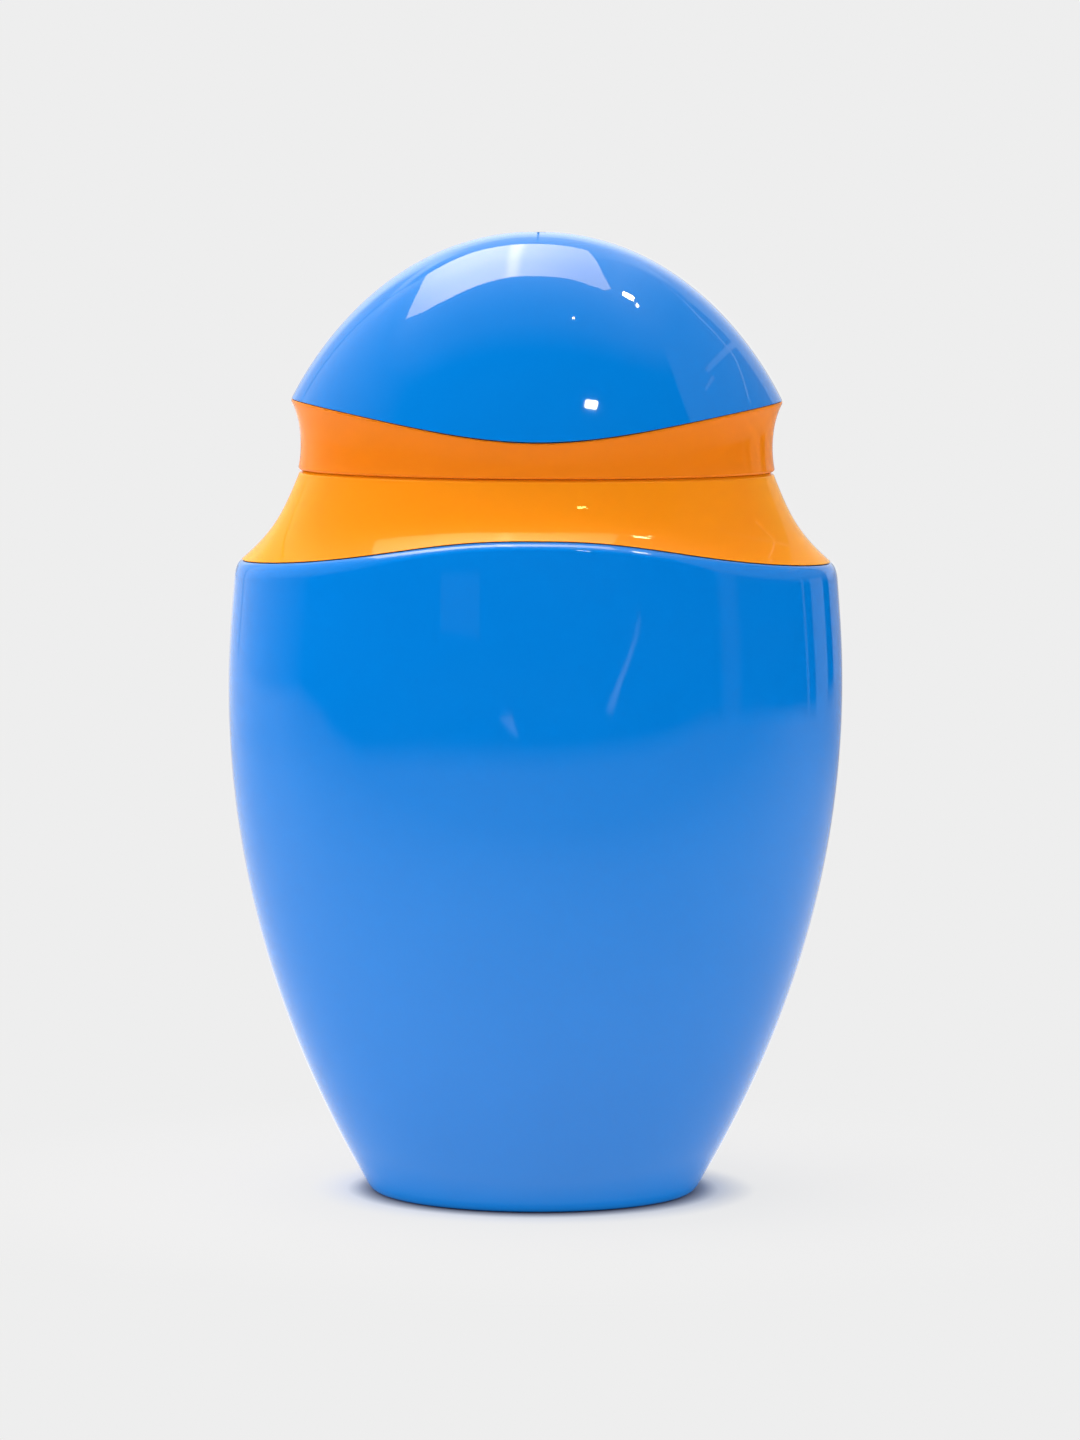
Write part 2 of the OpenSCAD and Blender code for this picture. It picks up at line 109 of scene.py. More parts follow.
LANDING = (NECK_FOOT + LANDING_END, NECK_FOOT + LANDING_MIDDLE)
SEAM_EDGE = (SEAM_WIDTH / 2, SEAM_DEPTH / 2)
DOME_RIM = (DOME_WIDTH / 2, DOME_DEPTH / 2)

# ---- Rings and curves ----
# A ring is [half width, half depth, height at the narrow ends, height in the middle of the wide faces].

END = [0, 2]
MIDDLE = [1, 3]
SIDES = 240
EVEN_ANGLES = np.linspace(0, TURN, SIDES, endpoint=False)
ROUND_STEPS = 5
ROUND_SUPPORT = 1.6


def ring(end, middle):
    return np.array([end[0], middle[0], end[1], middle[1]], float)


def flat_ring(half_width, half_depth, height):
    return ring((half_width, height), (half_depth, height))


def circle(radius, height):
    return flat_ring(radius, radius, height)


def inward(rings, distance, down=0.0):
    """The rings drawn in and lowered."""
    return [r - np.array([distance, distance, down, down]) for r in rings]


def steps_of(count):
    """Shares from 0 to 1 in a number of even steps."""
    return np.linspace(0, 1, count + 1)


def bezier(points, t):
    first, second, third, last = (np.array(p, float) for p in points)
    s = 1 - t
    return s**3 * first + 3 * s * s * t * second + 3 * s * t * t * third + t**3 * last


def pulled(start, end, pull):
    """Control points of a cubic whose handles are shares of the box between its ends."""
    start, end = np.array(start, float), np.array(end, float)
    box = end - start
    return [start, start + box * pull[0], start + box * pull[1], end]


def rings_between(end_points, middle_points, shares):
    return [ring(bezier(end_points, t), bezier(middle_points, t)) for t in shares]


def towards(here, other, distance):
    """The ring here, moved towards another one, on the narrow ends and on the wide faces alike."""
    moved = here.copy()
    for pair in (END, MIDDLE):
        step = other[pair] - here[pair]
        moved[pair] += step / max(np.linalg.norm(step), 1e-9) * distance
    return moved


def softened(rings, cuts, steps=ROUND_STEPS):
    """Rounds off the rings whose numbers cuts has, over the length that it gives for each side."""
    result = []
    for number, here in enumerate(rings):
        cut = cuts.get(number)
        if cut is None:
            result.append(here)
            continue
        before, after = rings[number - 1], rings[(number + 1) % len(rings)]
        start, stop = towards(here, before, cut), towards(here, after, cut)
        result.append(towards(here, before, cut * ROUND_SUPPORT))
        for t in steps_of(steps):
            result.append((1 - t) ** 2 * start + 2 * t * (1 - t) * here + t * t * stop)
        result.append(towards(here, after, cut * ROUND_SUPPORT))
    return result


def softened_circles(corners, steps=ROUND_STEPS):
    """Rings of a round piece, from the radius, height and rounding of its corners."""
    rings = [circle(radius, height) for radius, height, _ in corners]
    return softened(rings, {number: cut for number, (_, _, cut) in enumerate(corners) if cut}, steps)


def wave(angles, form):
    """Share of the narrow ends' height at angles round the oval."""
    power, softness = form
    reach = np.abs(np.cos(angles)) ** power
    return reach * (1 + softness) / (reach + softness)


def grid(rings, form, angles):
    """Points of the rings, as an array of rings by angles by three."""
    table = np.array(rings)
    share = wave(angles, form)[None, :]
    x = table[:, :1] * np.cos(angles)
    y = table[:, 1:2] * np.sin(angles)
    z = table[:, 3:4] + (table[:, 2:3] - table[:, 3:4]) * share
    return np.stack([x, y, z], axis=2)


# ---- Meshes ----


def add_object(name, points, faces, body):
    """A smooth-shaded piece from points in millimetres."""
    mesh = bpy.data.meshes.new(name)
    mesh.from_pydata((np.asarray(points) * MM).tolist(), [], faces)
    work = bmesh.new()
    work.from_mesh(mesh)
    bmesh.ops.recalc_face_normals(work, faces=work.faces)
    work.to_mesh(mesh)
    work.free()
    mesh.polygons.foreach_set("use_smooth", [True] * len(mesh.polygons))
    mesh.update()
    piece = bpy.data.objects.new(name, mesh)
    bpy.context.scene.collection.objects.link(piece)
    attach(piece, body)
    return piece


def band_faces(first, second, count):
    """Faces between two loops of points, from the numbers that the loops start at."""
    pairs = [(i, (i + 1) % count) for i in range(count)]
    return [(first + i, first + j, second + j, second + i) for i, j in pairs]


def loop(first, count):
    """A face through one loop of points."""
    return tuple(range(first, first + count))


def skin(points, closed):
    """Vertices and faces through a grid: closed on itself, or with both ends drawn to a point."""
    count, around, _ = points.shape
    vertices = points.reshape(-1, 3)
    faces = []
    for j in range(count if closed else count - 1):
        faces += band_faces(j * around, (j + 1) % count * around, around)
    if not closed:
        for j in (0, count - 1):
            centre = len(vertices)
            vertices = np.vstack([vertices, points[j].mean(axis=0)])
            faces += [(j * around + i, j * around + (i + 1) % around, centre) for i in range(around)]
    return vertices, faces


def turned(name, rings, body, closed=False, form=DOME_FORM):
    vertices, faces = skin(grid(rings, form, EVEN_ANGLES), closed)
    return add_object(name, vertices, faces, body)


# ---- Bottle ----

PANEL_RINGS = (0.05, 0.35, 0.65, 0.9)
PANEL_RISE_PULL = ((0.45, 0.02), (0.72, 0.99))
RISE_OVERLAP = 0.4
FOOT_FLAT = 0.5
CORNER_HANDLES = (0.8, 0.7)
# Shares of the wall by which the shoulder's inside lies inward and lower
ROOF_INSET, ROOF_DROP = 0.8, 0.9
# The inside follows the outside from a height over its own floor up to a height over the foot
INSIDE_START, INSIDE_END = 1, 64
INNER_FLOOR = (6, 3)
# The parting line's half width and height, and angles beside it that get more points
PARTING_HALF_WIDTH, PARTING_HEIGHT = 0.28, 0.035
PARTING_ANGLES = (0.25, 0.5, 0.8, 1.15)


def base_rings():
    """Push-up panel, standing ring and round corner, and the curves of the leaning side above them."""
    foot = [size / 2 - BASE_CORNER - FOOT_LEAN for size in (BASE_WIDTH, BASE_DEPTH)]
    inside = [half - STANDING_RING for half in foot]
    panel = [half * PANEL_SHARE for half in inside]
    rings = [flat_ring(panel[0] * s, panel[1] * s, PUSH_UP) for s in PANEL_RINGS]
    rise = [pulled((panel[i], PUSH_UP), (inside[i] + RISE_OVERLAP, 0.0), PANEL_RISE_PULL) for i in (0, 1)]
    rings += rings_between(*rise, steps_of(12))
    rings.append(flat_ring(foot[0] - FOOT_FLAT, foot[1] - FOOT_FLAT, 0.0))
    side = [
        pulled((width / 2, BASE_CORNER), (belly / 2, BELLY_HEIGHT), BELLY_PULL)
        for width, belly in ((BASE_WIDTH, BODY_WIDTH), (BASE_DEPTH, BODY_DEPTH))
    ]
    corners = []
    for half, (top, first_handle, *_) in zip(foot, side):
        lean = first_handle - top
        lean /= np.linalg.norm(lean)
        corners.append([(half, 0.0), (half + CORNER_HANDLES[0], 0.0), top - CORNER_HANDLES[1] * lean, top])
    rings += rings_between(*corners, steps_of(8)[:-1])
    return rings, side


def side_rings(side):
    """From the foot of the side over the belly to the rounded shoulder edge."""
    belly = (BODY_WIDTH / 2, BODY_DEPTH / 2)
    upper = [
        (SHOULDER_WIDTH / 2, SHOULDER_HEIGHT - EDGE_DROP_END),
        (SHOULDER_DEPTH / 2, SHOULDER_MIDDLE - EDGE_DROP_MIDDLE),
    ]
    upper_curves = [pulled((half, BELLY_HEIGHT), top, UPPER_PULL) for half, top in zip(belly, upper)]
    edge_curves = [
        pulled(upper[0], (SHOULDER_EDGE[0], SHOULDER_HEIGHT - LEDGE_GAP), EDGE_PULL),
        pulled(upper[1], (SHOULDER_EDGE[1], SHOULDER_MIDDLE - LEDGE_GAP), EDGE_PULL_MIDDLE),
    ]
    rings = rings_between(*side, steps_of(46))
    rings += rings_between(*upper_curves, steps_of(14)[1:])
    return rings + rings_between(*edge_curves, steps_of(10)[1:])


def recess_rings(steps):
    """The part of the shoulder that the collar covers, from its ledge to the foot of the neck."""
    curves = [
        pulled((edge, height - LEDGE_GAP), (landing, DECK_BOTTOM), RECESS_PULL)
        for edge, height, landing in zip(RECESS_EDGE, (SHOULDER_HEIGHT, SHOULDER_MIDDLE), LANDING)
    ]
    return rings_between(*curves, steps_of(steps))


def neck_rings():
    """Outside of the neck from its foot to the rim, and down its bore."""
    bead_bottom = SEAM_HEIGHT + SNAP_GAP
    corners = [
        (NECK_FOOT, DECK_BOTTOM, 0),
        (NECK_FOOT, bead_bottom, 0.08),
        (BEAD_RADIUS, bead_bottom, 0.12),
        (BEAD_RADIUS, bead_bottom + BEAD_HEIGHT / 2, 0.15),
        (NECK_RADIUS, bead_bottom + BEAD_HEIGHT, 0.2),
        (NECK_RADIUS, RIM_HEIGHT, 0.3),
        (NECK_BORE, RIM_HEIGHT, 0.2),
        (NECK_BORE, DECK_BOTTOM - BOTTLE_WALL * ROOF_DROP, 0),
    ]
    return softened_circles(corners, steps=4)


def parting_ridge(points, first, last):
    """Raises the fine line that the two mould halves leave on the narrow sides."""
    rows = points[first:last]
    ridge = np.clip(1 - (rows[:, :, 1] / PARTING_HALF_WIDTH) ** 2, 0, 1) ** 2
    reach = rows[:, :, 0] / rows[:, :1, 0]
    rows[:, :, 0] += np.sign(reach) * PARTING_HEIGHT * (ridge - reach**2)


def bottle_angles():
    """Angles round the bottle, closer together beside the parting line."""
    near = np.radians(PARTING_ANGLES)
    return np.sort(np.concatenate([EVEN_ANGLES, near, math.pi - near, math.pi + near, TURN - near]))


def make_bottle():
    base, side_curves = base_rings()
    outside = side_rings(side_curves)
    floor_height = PUSH_UP + BOTTLE_WALL
    inside = [r for r in inward(outside[::2], BOTTLE_WALL) if floor_height + INSIDE_START < r[2] < INSIDE_END]
    roof = inward(recess_rings(9), BOTTLE_WALL * ROOF_INSET, BOTTLE_WALL * ROOF_DROP)
    floor = [flat_ring(INNER_FLOOR[0] * s, INNER_FLOOR[1] * s, floor_height) for s in (1.0, 0.3)]
    rings = base + outside + recess_rings(12) + neck_rings() + roof[::-1] + inside[::-1] + floor
    points = grid(rings, SHOULDER_FORM, bottle_angles())
    parting_ridge(points, len(base), len(base) + len(outside))
    vertices, faces = skin(points, closed=False)
    bottle = add_object("bottle_body", vertices, faces, "bottle")
    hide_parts("bottle")
    return bottle


def make_pinch_line():
    """The weld that a blow mould leaves across the push-up panel."""
    half_length, half_width, proud, steps = 8.6, 0.42, 0.16, 40
    profile = [(-1, -0.6), (-0.75, 0.35), (-0.35, 0.85), (0, 1), (0.35, 0.85), (0.75, 0.35), (1, -0.6)]
    count = len(profile)
    points, faces = [], []
    for share in 2 * steps_of(steps) - 1:
        size = math.sqrt(max(1 - share**4, 0.0)) * 0.9 + 0.1
        for across, out in profile:
            points.append((half_length * share, half_width * across * size, PUSH_UP - proud * out * size))
    for step in range(steps):
        faces += band_faces(step * count, (step + 1) * count, count)
    faces += [loop(0, count), loop(steps * count, count)[::-1]]
    return add_object("base_pinch_line", points, faces, "bottle")


# ---- Collar ----

DECK_CLEARANCE = 1
# Insets and rises of the hidden ledge on the collar's top, which closes the view into the seam
SEAM_LEDGE = ((0.36, 0.0), (0.4, 0.15), (1.2, 0.15), (1.3, 0.0))


def seam_round_rings(side_height, face_height):
    """A quarter round at the seam, from the side to the flat face."""
    rings = []
    for angle in steps_of(ROUND_STEPS) * math.pi / 2:
        inset = SEAM_ROUND * (1 - math.cos(angle))
        height = side_height + (face_height - side_height) * math.sin(angle)
        rings.append(flat_ring(SEAM_EDGE[0] - inset, SEAM_EDGE[1] - inset, height))
    return rings


def make_collar():
    top = SEAM_HEIGHT - SEAM_ROUND
    curves = [
        pulled((SEAM_EDGE[0], top), (SHOULDER_EDGE[0], SHOULDER_HEIGHT), FLARE_PULL),
        pulled((SEAM_EDGE[1], top), (SHOULDER_EDGE[1], SHOULDER_MIDDLE), FLARE_PULL_MIDDLE),
    ]
    outside = rings_between(*curves, steps_of(24))
    inside = [r for r in inward(outside, COLLAR_WALL) if r[3] < DECK_BOTTOM - DECK_CLEARANCE]
    hole = NECK_FOOT + FIT_GAP
    corners = [
        circle(hole, DECK_BOTTOM),
        flat_ring(SEAM_EDGE[0] - COLLAR_WALL, SEAM_EDGE[1] - COLLAR_WALL, DECK_BOTTOM),
        *inside,
    ]
    edge_inside, edge_outside = len(corners) - 1, len(corners)
    corners += outside[::-1]
    corners += seam_round_rings(top, SEAM_HEIGHT)[1:]
    for inset, rise in SEAM_LEDGE:
        corners.append(flat_ring(SEAM_EDGE[0] - inset, SEAM_EDGE[1] - inset, SEAM_HEIGHT + rise))
    corners.append(circle(hole, SEAM_HEIGHT))
    rings = softened(corners, {edge_inside: 0.1, edge_outside: 0.12, len(corners) - 1: 0.15})
    collar = turned("collar_flare", rings, "bottle", closed=True, form=SHOULDER_FORM)
    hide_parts("shoulder_collar")
    return collar


# ---- Cap ----

# Heights of the two handles of the skirt's hollow, as shares of its rise
HOLLOW_HANDLES = (0.22, 0.67)
GATE_RINGS = (0.08, 0.3, 0.5, 0.7, 0.78)
GATE_DISH = 0.03
# Shares of the dome's curve for the rings outside it and inside it
DOME_OUTSIDE = (0.04, 0.046, *np.linspace(0.058, 1, 55))
DOME_INSIDE = np.linspace(0.9, 0.08, 22)
SPIGOT_OVERLAP = 0.5
CEILING_MIDDLE_RING = (0.8, 0.5, TOP_HEIGHT - DOME_WALL - 0.05)
# Share of the dome's wall that the ribs sink into, and how far their feet reach past the flange
RIB_SINK, RIB_LEG = 0.4, 1
RIB_SHARES = np.linspace(0.95, 0.08, 120)


def hollow_points(edge, lip, top, share):
    """Control points of the hollow of the skirt, on one of its two profiles."""
    rise = top - SKIRT_FOOT
    return [
        (edge, SKIRT_FOOT),
        (edge - HOLLOW_LOWER * share, SKIRT_FOOT + rise * HOLLOW_HANDLES[0]),
        (lip - HOLLOW_UPPER * share, SKIRT_FOOT + rise * HOLLOW_HANDLES[1]),
        (lip, top),
    ]


def make_skirt():
    lip_end, lip_middle = DOME_EDGE - LIP_HEIGHT, DOME_EDGE_MIDDLE - LIP_HEIGHT
    share = (lip_middle - SKIRT_FOOT) / (lip_end - SKIRT_FOOT)
    hollow = [
        hollow_points(SEAM_EDGE[0], DOME_RIM[0], lip_end, 1),
        hollow_points(SEAM_EDGE[1], DOME_RIM[1], lip_middle, share),
    ]
    hole = SLEEVE_RADIUS + FIT_GAP
    inner_foot = (SEAM_EDGE[0] - SKIRT_WALL, SEAM_EDGE[1] - SKIRT_WALL)
    inner_lip = (DOME_RIM[0] - SKIRT_WALL, DOME_RIM[1] - SKIRT_WALL)
    top_end, top_middle = DOME_EDGE - DOME_GAP_END, DOME_EDGE_MIDDLE - DOME_GAP_MIDDLE
    corners = [
        circle(hole, WEB_BOTTOM), flat_ring(*inner_foot, WEB_BOTTOM), flat_ring(*inner_foot, SKIRT_BOTTOM),
    ]
    corners += seam_round_rings(SKIRT_FOOT, SKIRT_BOTTOM)[::-1]
    corners += rings_between(*hollow, steps_of(24)[1:])
    lip = len(corners)
    corners += [
        ring((DOME_RIM[0], top_end), (DOME_RIM[1], top_middle)),
        ring((inner_lip[0], top_end), (inner_lip[1], top_middle)),
        ring((inner_lip[0], DOME_EDGE - SPIGOT_LENGTH - 2 * SNAP_GAP), (inner_lip[1], WEB_TOP + SNAP_GAP)),
        flat_ring(*inner_foot, WEB_TOP),
        circle(hole, WEB_TOP),
    ]
    rings = softened(corners, {1: 0.3, 2: 0.15, lip - 1: 0.09, lip: 0.06, lip + 1: 0.1})
    skirt = turned("cap_skirt_shell", rings, "cap", closed=True)
    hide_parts("cap_skirt")
    return skirt


def dome_curves(wall):
    """The dome's two profiles, or those of its inside at a wall's thickness."""
    return [
        pulled((0, TOP_HEIGHT - wall), (half - wall, edge), DOME_PULL)
        for half, edge in zip(DOME_RIM, (DOME_EDGE, DOME_EDGE_MIDDLE))
    ]


def spigot_ring(inset, down):
    return ring((DOME_RIM[0] - inset, DOME_EDGE - down), (DOME_RIM[1] - inset, DOME_EDGE_MIDDLE - down))


def gate_rings():
    """The shallow mark that the injection point leaves in the middle of the dome."""
    floor = TOP_HEIGHT - GATE_DEPTH
    return [circle(GATE_RADIUS * s, floor - GATE_DISH * (1 - s)) for s in GATE_RINGS]


def make_dome():
    spigot_outside = SKIRT_WALL + SNAP_GAP
    spigot_inside = spigot_outside + SPIGOT_WALL
    corners = gate_rings() + rings_between(*dome_curves(0), DOME_OUTSIDE)
    edge = len(corners) - 1
    corners += [
        spigot_ring(spigot_outside, 0),
        spigot_ring(spigot_outside, SPIGOT_LENGTH),
        spigot_ring(spigot_inside, SPIGOT_LENGTH),
        spigot_ring(spigot_inside, -SPIGOT_OVERLAP),
    ]
    corners += rings_between(*dome_curves(DOME_WALL), DOME_INSIDE)
    corners.append(flat_ring(*CEILING_MIDDLE_RING))
    rings = softened(corners, {edge: 0.1, edge + 2: 0.2, edge + 3: 0.2})
    dome = turned("cap_dome_shell", rings, "cap")
    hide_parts("cap_dome")
    return dome


def rib_outline(heading, dome):
    """Corners of a rib, as distances from the axis and heights, round its foot and the dome's inside."""
    inner, bottom = SLEEVE_RADIUS + 2 * FIT_GAP, WEB_TOP + SNAP_GAP
    outline = [(inner, bottom), (CAP_FLANGE + RIB_LEG, bottom)]
    for half_width, half_depth, height_end, height_middle in dome:
        angle = math.atan2(math.sin(heading) / half_depth, math.cos(heading) / half_width)
        radius = math.hypot(half_width * math.cos(angle), half_depth * math.sin(angle))
        if radius > inner:
            share = wave(np.array([angle]), DOME_FORM)[0]
            outline.append((radius, height_middle + (height_end - height_middle) * share))
    outline.append((inner, outline[-1][1]))
    return outline


def make_dome_ribs():
    """Upright plates inside the dome that key the inner cap."""
    points, faces = [], []
    dome = rings_between(*dome_curves(DOME_WALL * (1 - RIB_SINK)), RIB_SHARES)
    for number in range(RIB_COUNT):
        heading = TURN * number / RIB_COUNT
        outward = np.array([math.cos(heading), math.sin(heading)])
        across = np.array([-outward[1], outward[0]])
        outline = rib_outline(heading, dome)
        start, count = len(points), len(outline)
        for side in (-RIB_THICKNESS / 2, RIB_THICKNESS / 2):
            points += [(*(outward * r + across * side), z) for r, z in outline]
        faces += [loop(start, count), loop(start + count, count)[::-1]]
        faces += band_faces(start, start + count, count)
    ribs = add_object("dome_ribs", points, faces, "cap")
    ribs.data.polygons.foreach_set("use_smooth", [False] * len(ribs.data.polygons))
    return ribs


# ---- Threads ----

LEAD = 6.0
THREAD_STARTS = 2
THREAD_STEPS = 150
THREAD_SINK = 0.25
# Share of a ridge's length over which each end fades, and its width at the very end
THREAD_FADE, THREAD_END = 0.1, 0.35
# Reach from the wall, width at the root and at the crest
NECK_RIDGE, CAP_RIDGE = (1.05, 1.3, 0.55), (1.0, 1.2, 0.5)
# Heights of the start and the end, and the start's share of a turn
NECK_THREAD, CAP_THREAD = (77.9, 83.2, 0.0), (78.0, 82.6, 0.27)


def thread_section(reach, root_width, crest_width):
    """Rounded cross-section of a ridge: distance from its wall and height, its foot sunk into the wall."""
    root, crest = root_width / 2, crest_width / 2
    lower = [
        (-THREAD_SINK, -root), (0.0, -root), (0.12 * reach, -root * 0.93), (0.8 * reach, -crest * 1.25),
        (0.96 * reach, -crest * 0.9), (reach, -crest * 0.4),
    ]
    return lower + [(proud, -along) for proud, along in reversed(lower)]


def make_thread(name, wall, direction, ridge, course, body):
    """Two-start right-hand ridges on a round wall. direction is 1 on its outside and -1 on its inside."""
    section = thread_section(*ridge)
    bottom, top, phase = course
    turns = (top - bottom) / LEAD
    count = len(section)
    points, faces = [], []
    for start in range(THREAD_STARTS):
        first = len(points)
        for share in steps_of(THREAD_STEPS):
            angle = TURN * (share * turns + phase + start / THREAD_STARTS)
            fade = min(1.0, share / THREAD_FADE, (1 - share) / THREAD_FADE)
            fade = math.sin(fade * math.pi / 2)
            width = THREAD_END + (1 - THREAD_END) * fade
            height = bottom + (top - bottom) * share
            for proud, along in section:
                radius = wall + direction * (proud if proud < 0 else proud * fade)
                points.append((radius * math.cos(angle), radius * math.sin(angle), height + along * width))
        for step in range(THREAD_STEPS):
            faces += band_faces(first + step * count, first + (step + 1) * count, count)
        faces += [loop(first, count), loop(first + THREAD_STEPS * count, count)[::-1]]
    return add_object(name, points, faces, body)


def make_threads():
    """The ridges on the neck and in the inner cap."""
    return (
        make_thread("neck_thread", NECK_RADIUS, 1, NECK_RIDGE, NECK_THREAD, "bottle"),
        make_thread("inner_cap_thread", CAP_BORE, -1, CAP_RIDGE, CAP_THREAD, "cap"),
    )


# ---- Nozzle and liner ----

# Shares of the plug's length at which its two beads stand, and half of each bead's share
PLUG_BEADS, BEAD_SHARE = (0.32, 0.67), 0.07
PLUG_CHAMFER, PLUG_STEP = 0.2, 0.5
DENT_HALF_WIDTH, DENT_DEPTH, LINER_ROUND = 0.4, 0.04, 0.15


def make_nozzle():
    bead = NECK_BORE - PLUG_PLAY
    barrel = bead - PLUG_BEAD
    bottom, top = RIM_HEIGHT - PLUG_LENGTH, RIM_HEIGHT + FLANGE_THICKNESS
    corners = [
        (barrel - PLUG_WALL, bottom, 0),
        (barrel - PLUG_CHAMFER, bottom, 0),
        (barrel, bottom + PLUG_STEP, 0),
    ]
    for share in PLUG_BEADS:
        corners += [
            (barrel, bottom + PLUG_LENGTH * (share - BEAD_SHARE), 0),
            (bead, bottom + PLUG_LENGTH * share, 0.15),
            (barrel, bottom + PLUG_LENGTH * (share + BEAD_SHARE), 0),
        ]
    corners += [
        (barrel, RIM_HEIGHT, 0),
        (FLANGE_RADIUS, RIM_HEIGHT, 0.2),
        (FLANGE_RADIUS, top, 0.35),
        (SPOUT_FOOT, top, 0.5),
        (SPOUT_TIP, TIP_HEIGHT, 0.4),
        (ORIFICE, TIP_HEIGHT, 0.25),
        (ORIFICE, TIP_HEIGHT - PLUG_WALL, 0.1),
        (SPOUT_TIP - PLUG_WALL, TIP_HEIGHT - 2 * PLUG_WALL, 0),
        (barrel - PLUG_WALL, RIM_HEIGHT - PLUG_STEP, 0),
    ]
    rings = softened_circles(corners, steps=6)
    nozzle = turned("nozzle_spout", rings, "bottle", closed=True)
    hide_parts("nozzle_plug")
    return nozzle


def make_liner():
    """Soft disc with a faint ring where the spout presses it."""
    low, high = LINER_BOTTOM, LINER_BOTTOM + LINER_THICKNESS
    dent = (ORIFICE + SPOUT_TIP) / 2
    corners = [(radius, low, 0) for radius in (0.2, 1.2, ORIFICE - 0.3)]
    for step in (-1, -0.6, 0, 0.6, 1):
        corners.append((dent + step * DENT_HALF_WIDTH, low + DENT_DEPTH * (1 - step * step), 0))
    corners += [(LINER_RADIUS, height, LINER_ROUND) for height in (low, high)]
    corners += [(radius, high, 0) for radius in (3.0, 1.5, 0.2)]
    liner = turned("liner_disc", softened_circles(corners), "liner")
    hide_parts("seal_liner")
    return liner


# ---- Materials ----

# Scales of the noises: clouds and grain in the pigment, and waves, peel and smears in the skin
CLOUD_SCALE, GRAIN_SCALE, WAVE_SCALE, PEEL_SCALE = 38.0, 2600.0, 55.0, 900.0
SMEAR_SCALE = (60.0, 60.0, 190.0)
WAVE_HEIGHT, PEEL_HEIGHT, GRAIN_SHARE = 0.00009, 0.0000007, 0.12
# How grazing the view is, from 0 to 1, where the pigment turns to its edge colour, a painted rim sheen, and
# where the index falls
RIM_SHEEN_FACING, INDEX_FACING = (0.35, 0.9), (0.3, 0.8)
CELL_SCALE, CELL_DEPTH = 3800.0, 0.00006

SHEEN_BLUE = (1.0, 0.93, 0.72)
WARM_SCATTER = {"waviness": 0.5, "scatter": 0.1, "scatter_radius": (1.6, 0.5, 0.1), "gloss": (0.03, 0.07)}

PLASTICS = {
    "blue_gloss": {
        "colour": (0.0008, 0.211, 0.715), "shade": (0.0004, 0.199, 0.68), "gloss": (0.03, 0.075),
        "sheen_tint": SHEEN_BLUE,
    },
    "blue_gloss_dome": {
        "colour": (0.0008, 0.193, 0.65), "shade": (0.0004, 0.184, 0.623), "gloss": (0.02, 0.05),
        "waviness": 0.5, "sheen_tint": SHEEN_BLUE,
    },
    # The oranges' edge colours are painted rim sheen, lighter and yellower than their pigment, shown at
    # grazing angles
    "orange_gloss": {
        "colour": (0.90, 0.275, 0.009), "shade": (0.88, 0.26, 0.007), "edge": (0.95, 0.40, 0.009),
        "ior": (1.38, 1.09), "sheen_tint": (1.0, 0.55, 0.15), **WARM_SCATTER,
    },
    # The skirt's orange is a darker copy of the collar's, painted shade for its hollow that faces down under
    # the dome
    "orange_gloss_skirt_painted_shade": {
        "colour": (0.82, 0.212, 0.010), "shade": (0.80, 0.20, 0.008), "edge": (0.88, 0.26, 0.010),
        "ior": (1.38, 1.14), "sheen_tint": (1.0, 0.62, 0.28), **WARM_SCATTER,
    },
    "natural_plastic": {
        "colour": (0.83, 0.84, 0.81), "shade": (0.79, 0.80, 0.77), "gloss": (0.28, 0.4),
        "waviness": 0.5, "scatter": 0.25, "scatter_radius": (1.0, 0.95, 0.9),
    },
}
# Colour of the foam, and the darker one painted in its pits as shade
FOAM_COLOUR, FOAM_PAINTED_PIT_SHADE = (0.88, 0.88, 0.85), (0.74, 0.74, 0.7)


